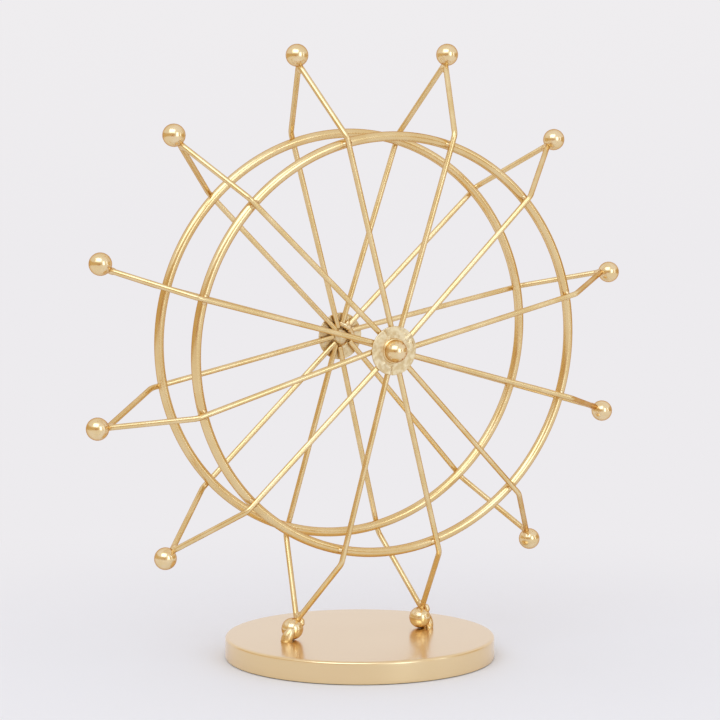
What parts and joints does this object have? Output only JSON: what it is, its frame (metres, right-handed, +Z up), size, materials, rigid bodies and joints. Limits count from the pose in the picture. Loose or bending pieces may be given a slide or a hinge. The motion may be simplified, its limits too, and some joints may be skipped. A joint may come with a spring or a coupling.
{
  "type": "wire ferris wheel ornament",
  "caption": "Static table ornament shaped as a ferris wheel: wire rings, bent wire arms ending in balls, hub discs, on a round weighted base.",
  "frame": {"origin": "on the table, under the middle of the base and of the whole object's box", "axes": "+Z up; the wheel's front faces -Y and leans that way by a few degrees; the wheel's width lies along X"},
  "size_m": [0.3235, 0.15, 0.3391],
  "materials": {
    "base_gold": "pressed steel, satin champagne gold plating",
    "ring_gold": "drawn steel wire, satin champagne gold plating",
    "spoke_gold": "drawn steel wire, satin champagne gold plating",
    "ball_gold": "steel balls, soft gloss champagne gold plating",
    "disc_gold": "stamped sheet steel, mottled satin gold plating",
    "solder_gold": "solder beads under the gold plating",
    "weight_iron": "raw cast plate, hidden in the base",
    "pad_foam": "matt closed-cell foam rubber"
  },
  "bodies": {
    "root": {"base_shell": "base_gold", "base_weight": "weight_iron", "base_pad": "pad_foam", "front_ring": "ring_gold", "rear_ring": "ring_gold", "front_spoke_01": "spoke_gold", "front_spoke_02": "spoke_gold", "front_spoke_03": "spoke_gold", "front_spoke_04": "spoke_gold", "front_spoke_05": "spoke_gold", "front_spoke_06": "spoke_gold", "front_spoke_07": "spoke_gold", "front_spoke_08": "spoke_gold", "front_spoke_09": "spoke_gold", "front_spoke_10": "spoke_gold", "front_spoke_11": "spoke_gold", "front_spoke_12": "spoke_gold", "rear_spoke_01": "spoke_gold", "rear_spoke_02": "spoke_gold", "rear_spoke_03": "spoke_gold", "rear_spoke_04": "spoke_gold", "rear_spoke_05": "spoke_gold", "rear_spoke_06": "spoke_gold", "rear_spoke_07": "spoke_gold", "rear_spoke_08": "spoke_gold", "rear_spoke_09": "spoke_gold", "rear_spoke_10": "spoke_gold", "rear_spoke_11": "spoke_gold", "rear_spoke_12": "spoke_gold", "tip_ball_01": "ball_gold", "tip_ball_02": "ball_gold", "tip_ball_03": "ball_gold", "tip_ball_04": "ball_gold", "tip_ball_05": "ball_gold", "tip_ball_06": "ball_gold", "tip_ball_07": "ball_gold", "tip_ball_08": "ball_gold", "tip_ball_11": "ball_gold", "tip_ball_12": "ball_gold", "foot_ball_left": "ball_gold", "foot_ball_right": "ball_gold", "front_hub_ball": "ball_gold", "rear_hub_ball": "ball_gold", "front_hub_disc": "disc_gold", "rear_hub_disc": "disc_gold", "tip_welds": "solder_gold", "front_ring_welds": "solder_gold", "rear_ring_welds": "solder_gold", "hub_welds": "solder_gold", "foot_welds": "solder_gold"}
  },
  "joints": []
}
